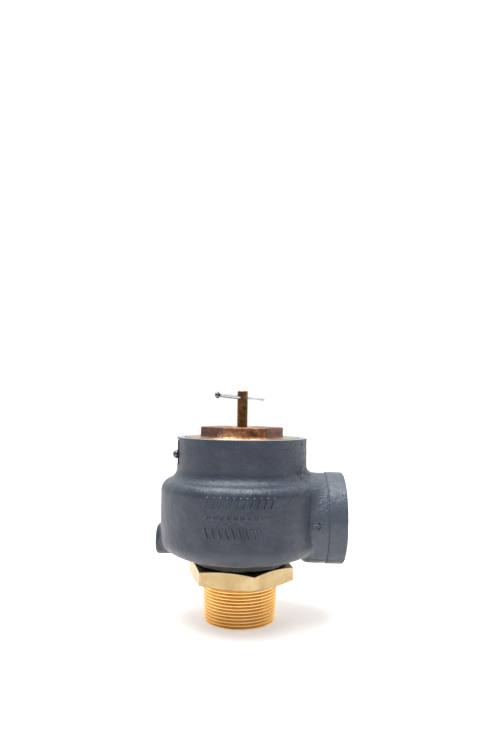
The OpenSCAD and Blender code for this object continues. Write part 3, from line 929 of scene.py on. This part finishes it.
# ---------------- materials
class Graph:
    """A short way to write a material's nodes."""

    def __init__(self, name):
        self.material = bpy.data.materials.new(name)
        self.material.use_nodes = True
        self.tree = self.material.node_tree
        self.shader = self.tree.nodes["Principled BSDF"]
        self.coords = self.add("ShaderNodeTexCoord").outputs["Object"]

    def add(self, kind, **values):
        node = self.tree.nodes.new(kind)
        for key, value in values.items():
            setattr(node, key, value)
        return node

    def link(self, source, target):
        self.tree.links.new(source, target)

    def stretched(self, scale):
        node = self.add("ShaderNodeMapping")
        node.inputs["Scale"].default_value = scale
        self.link(self.coords, node.inputs["Vector"])
        return node.outputs["Vector"]

    def noise(self, size_mm, detail=3.0, rough=0.5, vector=None):
        """Noise with features about size_mm across, from 0 to 1."""
        node = self.add("ShaderNodeTexNoise")
        node.inputs["Scale"].default_value = 1 / (size_mm * MM)
        node.inputs["Detail"].default_value = detail
        node.inputs["Roughness"].default_value = rough
        self.link(vector or self.coords, node.inputs["Vector"])
        return node.outputs["Fac"]

    def ramp(self, source, stops):
        """A colour ramp with (place, colour or grey) stops."""
        node = self.add("ShaderNodeValToRGB")
        while len(node.color_ramp.elements) < len(stops):
            node.color_ramp.elements.new(0.5)
        for element, (place, colour) in zip(node.color_ramp.elements, stops):
            element.position = place
            element.color = (*colour, 1) if isinstance(colour, tuple) else (colour, colour, colour, 1)
        self.link(source, node.inputs["Fac"])
        return node.outputs["Color"]

    def mix(self, share, first, second, blend="MIX"):
        node = self.add("ShaderNodeMix", data_type="RGBA", blend_type=blend)
        for value, socket in ((share, node.inputs[0]), (first, node.inputs[6]), (second, node.inputs[7])):
            if isinstance(value, bpy.types.NodeSocket):
                self.link(value, socket)
            else:
                socket.default_value = value if isinstance(value, float) else (*value, 1)
        return node.outputs[2]

    def mark(self, name):
        """One of the mesh's own marks."""
        return self.add("ShaderNodeAttribute", attribute_name=name).outputs["Fac"]

    def ranged(self, source, low, high):
        """0 where the source is below low, 1 where it is above high, and between them in between."""
        node = self.add("ShaderNodeMapRange")
        node.inputs["From Min"].default_value = low
        node.inputs["From Max"].default_value = high
        self.link(source, node.inputs["Value"])
        return node.outputs["Result"]

    def pointiness(self, low, high):
        """0 in hollows, 1 on convex edges, between two pointiness values."""
        return self.ranged(self.add("ShaderNodeNewGeometry").outputs["Pointiness"], low, high)

    def between_heights(self, low, high):
        """0 below the height low, 1 above the height high, in millimetres."""
        split = self.add("ShaderNodeSeparateXYZ")
        self.link(self.coords, split.inputs[0])
        return self.ranged(split.outputs["Z"], low * MM, high * MM)

    def bump(self, height, distance_mm, strength=1.0, before=None):
        node = self.add("ShaderNodeBump")
        node.inputs["Strength"].default_value = strength
        node.inputs["Distance"].default_value = distance_mm * MM
        self.link(height, node.inputs["Height"])
        if before is not None:
            self.link(before, node.inputs["Normal"])
        return node.outputs["Normal"]

    def done(self, colour, roughness, normal, metallic=0.0):
        self.link(colour, self.shader.inputs["Base Color"])
        self.link(roughness, self.shader.inputs["Roughness"])
        self.link(normal, self.shader.inputs["Normal"])
        self.shader.inputs["Metallic"].default_value = metallic
        return self.material


def paint_material(name, tint=1.0):
    """Blue-grey enamel over rough cast iron."""
    g = Graph(name)
    base = tuple(c * tint for c in (0.031, 0.041, 0.064))
    light = tuple(c * tint for c in (0.045, 0.057, 0.084))
    dark = tuple(c * tint for c in (0.023, 0.030, 0.048))
    cloud = g.noise(22, 3)
    colour = g.ramp(cloud, [(0.3, dark), (0.5, base), (0.75, light)])
    speck = g.ramp(g.noise(2.2, 2), [(0.62, 0.0), (0.72, 0.35)])
    colour = g.mix(speck, colour, dark)
    # Painted highlight: convex edges, such as the tops of the raised marks, are lightened towards the light
    # enamel.
    edge = g.pointiness(0.50, 0.62)
    colour = g.mix(g.ramp(edge, [(0.2, 0.0), (1.0, 0.45)]), colour, light)
    # Painted sheen: where the mark 'pale' is, on the outlet, the enamel is lightened to a pale blue-grey in
    # blotches.
    sheen_blotches = g.ramp(g.noise(5.0, 3, 0.6), [(0.35, 0.24), (0.65, 0.42)])
    colour = g.mix(g.mix(g.mark("pale"), (0.0, 0.0, 0.0), sheen_blotches), colour, (0.108, 0.132, 0.170))
    # Painted shade: below the belly, the foot of the casting goes near black.
    colour = g.mix(g.between_heights(UNDER_Z, UNDER_Z + 4), (0.002, 0.0025, 0.0035), colour)
    # Painted highlight: a pale grey line along the rim's top face.
    colour = g.mix(g.between_heights(RIM_Z - 0.5, RIM_Z - 0.1), colour, (0.24, 0.25, 0.27))
    roughness = g.ramp(g.noise(9, 3), [(0.3, 0.33), (0.7, 0.46)])
    peel = g.bump(g.noise(1.7, 2, 0.5), 0.20, 0.9)
    skin_bump = g.bump(g.noise(4.5, 3, 0.55), 0.45, 0.8, peel)
    craters = g.mix(g.mark("rough"), (0.5, 0.5, 0.5), g.noise(2.0, 2, 0.6))
    return g.done(colour, roughness, g.bump(craters, 1.2, 1.0, skin_bump))


# One metal finish: three shades of its colour, its lowest and highest roughness, and its grain
Finish = namedtuple(
    "Finish", "light base dark rough grain patch_mm bumps lines_mm", defaults=(14.0, (0.02, 0.03), 1.0)
)


def draw_finish(g, finish):
    """Colour, roughness and normal of one finish."""
    cloud = g.noise(finish.patch_mm, 4, 0.6)
    colour = g.ramp(cloud, [(0.32, finish.dark), (0.52, finish.base), (0.72, finish.light)])
    lines = g.noise(finish.lines_mm, 3, 0.6, g.stretched(finish.grain))
    colour = g.mix(g.ramp(lines, [(0.35, 0.0), (0.8, 0.3)]), colour, finish.light)
    roughness = g.ramp(lines, [(0.3, finish.rough[0]), (0.7, finish.rough[1])])
    fine = g.bump(lines, finish.bumps[0], 0.6)
    uneven = g.bump(g.noise(3.5, 3), finish.bumps[1], 0.6, fine)
    return colour, roughness, uneven


def metal_material(name, finish, second=None, root=None, face=None, dark=None, worn=None):
    """Bare metal. Its mesh's marks choose where a second finish and the other colours are; the root and dark
    colours are painted shade.
    """
    g = Graph(name)
    colour, roughness, normal = draw_finish(g, finish)
    if face:
        colour = g.mix(g.mark("face"), colour, face)
    if second:
        share = g.mark("second")
        other = draw_finish(g, second)
        colour = g.mix(share, colour, other[0])
        roughness = g.mix(share, roughness, other[1])
        normal = g.mix(share, normal, other[2])
    # Painted shade: thread roots darken towards the root colour.
    if root:
        colour = g.mix(g.ramp(g.mark("root"), [(0.25, 0.0), (0.9, 0.9)]), colour, root)
    # Painted shade: the mark 'dark' darkens towards the dark colour.
    if dark:
        colour = g.mix(g.mark("dark"), colour, dark)
    if worn:
        patches = g.ramp(g.noise(2.5, 3, 0.6), [(0.40, 0.2), (0.60, 1.0)])
        colour = g.mix(g.mix(g.mark("worn"), (0.0, 0.0, 0.0), patches), colour, worn)
    return g.done(colour, roughness, normal, 1.0)


def seal_material():
    g = Graph("seal_white")
    colour = g.ramp(g.noise(6, 2), [(0.3, (0.72, 0.72, 0.66)), (0.7, (0.86, 0.86, 0.80))])
    roughness = g.ramp(g.noise(4, 2), [(0.3, 0.45), (0.7, 0.6)])
    return g.done(colour, roughness, g.bump(g.noise(0.8, 2), 0.05, 0.5))


TURNED = (0.15, 0.15, 2.0)
UPRIGHT = (1.4, 1.4, 0.07)
GRAINY = (0.6, 0.6, 0.6)
paint = paint_material("enamel_grey")
plug_paint = paint_material("enamel_grey_plug", 0.8)

turned_brass = Finish((0.96, 0.71, 0.35), (0.95, 0.64, 0.255), (0.88, 0.54, 0.18), (0.26, 0.38), TURNED)
satin_brass = Finish(
    (0.55, 0.43, 0.25), (0.47, 0.35, 0.175), (0.38, 0.27, 0.125), (0.26, 0.42), UPRIGHT, 16, (0.015, 0.05),
    0.8,
)
ring_brass = Finish((0.84, 0.66, 0.40), (0.72, 0.53, 0.29), (0.52, 0.36, 0.18), (0.28, 0.42), TURNED)
raw_bronze = Finish(
    (0.62, 0.29, 0.16), (0.33, 0.14, 0.08), (0.12, 0.055, 0.036), (0.38, 0.60), GRAINY, 6, (0.14, 0.50), 0.9
)
plated = Finish((0.66, 0.70, 0.74), (0.52, 0.55, 0.59), (0.34, 0.36, 0.39), (0.18, 0.30), GRAINY)
dark_zinc = Finish((0.26, 0.26, 0.27), (0.16, 0.16, 0.17), (0.07, 0.07, 0.075), (0.24, 0.40), GRAINY)

# root and dark are painted shade: in the thread's roots and on the hexagon's top face.
brass_thread = metal_material(
    "brass_turned", turned_brass, satin_brass, root=(0.92, 0.53, 0.17), dark=(0.012, 0.009, 0.006)
)
brass_plain = metal_material("brass_plain", turned_brass)
# root and dark are painted shade: in the thread's roots, and on the hexagon's facets and top face.
bronze_cast = metal_material(
    "bronze_cast", ring_brass, raw_bronze, root=(0.13, 0.055, 0.02), face=(0.24, 0.20, 0.14),
    dark=(0.10, 0.055, 0.04), worn=(1.0, 0.62, 0.40)
)
stem_brown = metal_material("brass_tarnished", Finish(
    (0.30, 0.15, 0.055), (0.14, 0.066, 0.025), (0.05, 0.025, 0.010), (0.30, 0.48), UPRIGHT, 5, (0.02, 0.04)
))
# The dark zinc on the pull pin's eye is a painted dark reflection.
zinc = metal_material("zinc_plate", plated, dark_zinc)
zinc_dark = metal_material("zinc_dark", dark_zinc)
steel = metal_material("steel_turned", Finish(
    (0.66, 0.66, 0.67), (0.50, 0.50, 0.51), (0.34, 0.34, 0.35), (0.28, 0.42), TURNED
))
spring_steel = metal_material("steel_spring", Finish(
    (0.40, 0.40, 0.42), (0.26, 0.26, 0.28), (0.14, 0.14, 0.15), (0.32, 0.50), GRAINY
))
plate_metal = metal_material("plate_black", Finish(
    (0.10, 0.10, 0.10), (0.04, 0.04, 0.042), (0.015, 0.015, 0.016), (0.30, 0.46), (1.5, 1.5, 0.1)
))
# root is painted shade in the thread's roots.
bare_iron = metal_material("iron_cut", Finish(
    (0.42, 0.42, 0.43), (0.30, 0.30, 0.31), (0.18, 0.17, 0.17), (0.34, 0.50), (2.0, 0.15, 0.15)
), root=(0.07, 0.065, 0.06))
seal_white = seal_material()

CAD_FINISHES = (
    (steel, ("seal_retainer", "stem_nut", "lower_spring_step", "upper_spring_step", "thrust_washer")),
    (brass_plain, ("disc_holder", "wing_guide", "stem_bushing")),
    (zinc, ("nut_cotter", "lock_screw")),
    (seal_white, ("seat_seal",)),
)
for finish, nodes in CAD_FINISHES:
    for node in nodes:
        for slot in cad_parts[node].material_slots:
            slot.material = finish

make_casting(paint)
make_outlet_thread(bare_iron)
make_base(brass_thread)
make_adjuster(bronze_cast)
make_stem(stem_brown)
make_pull_pin(zinc)
make_drain_plug(plug_paint)
make_nameplate(plate_metal)
make_nameplate_screws(zinc_dark)
make_spring(spring_steel)


# ---------------- stage, light and camera
def make_floor():
    """A large pale floor."""
    half = 6000.0
    corners = [(-half, -half, 0), (half, -half, 0), (half, half, 0), (-half, half, 0)]
    mesh = mesh_from("floor", corners, [(0, 1, 2, 3)])
    floor = new_object("floor", mesh)
    material = bpy.data.materials.new("floor_white")
    material.use_nodes = True
    shader = material.node_tree.nodes["Principled BSDF"]
    shader.inputs["Base Color"].default_value = (0.72, 0.70, 0.69, 1)
    shader.inputs["Roughness"].default_value = 0.7
    shader.inputs["Emission Color"].default_value = (1, 0.985, 0.97, 1)
    shader.inputs["Emission Strength"].default_value = 0.41
    mesh.materials.append(material)


def make_light():
    """A wide light over the valve, a little to its left and front."""
    data = bpy.data.lights.new("top", "AREA")
    data.shape = "RECTANGLE"
    data.size, data.size_y = 1.2, 0.8
    data.energy = 27.0
    light = new_object("top", data)
    light.location = (-0.1, -0.15, 1.3)
    aim = Vector((0, 0, 0.1))
    light.rotation_euler = (aim - light.location).to_track_quat("-Z", "Y").to_euler()


def make_world():
    """White to the camera. As a light it is dim in front of the valve, and bright beside and behind it."""
    world = bpy.data.worlds.new("studio")
    world.use_nodes = True
    tree = world.node_tree
    background = tree.nodes["Background"]
    split = tree.nodes.new("ShaderNodeSeparateXYZ")
    tree.links.new(tree.nodes.new("ShaderNodeTexCoord").outputs["Generated"], split.inputs[0])

    def ranged(axis, start, end, first, last):
        node = tree.nodes.new("ShaderNodeMapRange")
        node.interpolation_type = "SMOOTHSTEP"
        for name, value in (("From Min", start), ("From Max", end), ("To Min", first), ("To Max", last)):
            node.inputs[name].default_value = value
        tree.links.new(split.outputs[axis], node.inputs["Value"])
        return node.outputs["Result"]

    total = tree.nodes.new("ShaderNodeMath")
    tree.links.new(ranged("Y", -0.60, 0.60, 0.03, 1.00), total.inputs[0])
    tree.links.new(ranged("Z", 0.1, 1.0, 0.0, 0.5), total.inputs[1])
    choose = tree.nodes.new("ShaderNodeMix")
    tree.links.new(tree.nodes.new("ShaderNodeLightPath").outputs["Is Camera Ray"], choose.inputs[0])
    tree.links.new(total.outputs[0], choose.inputs[2])
    choose.inputs[3].default_value = 1.02
    tree.links.new(choose.outputs[0], background.inputs["Strength"])
    background.inputs["Color"].default_value = (1, 1, 1, 1)
    bpy.context.scene.world = world


def make_camera():
    """Stands 0.61 m in front of the valve's axis, a little above the adjusting screw, looking level."""
    data = bpy.data.cameras.new("camera")
    camera = new_object("camera", data)
    data.sensor_width = 36.0
    data.lens = 28.8
    camera.location = (0.0077, -0.612, 0.2118)
    camera.rotation_euler = (math.radians(90), math.radians(-0.8), 0)
    data.shift_y = 0.0467
    data.clip_start = 0.01
    bpy.context.scene.camera = camera


bpy.context.scene.view_settings.view_transform = "Standard"
make_floor()
make_world()
make_light()
make_camera()
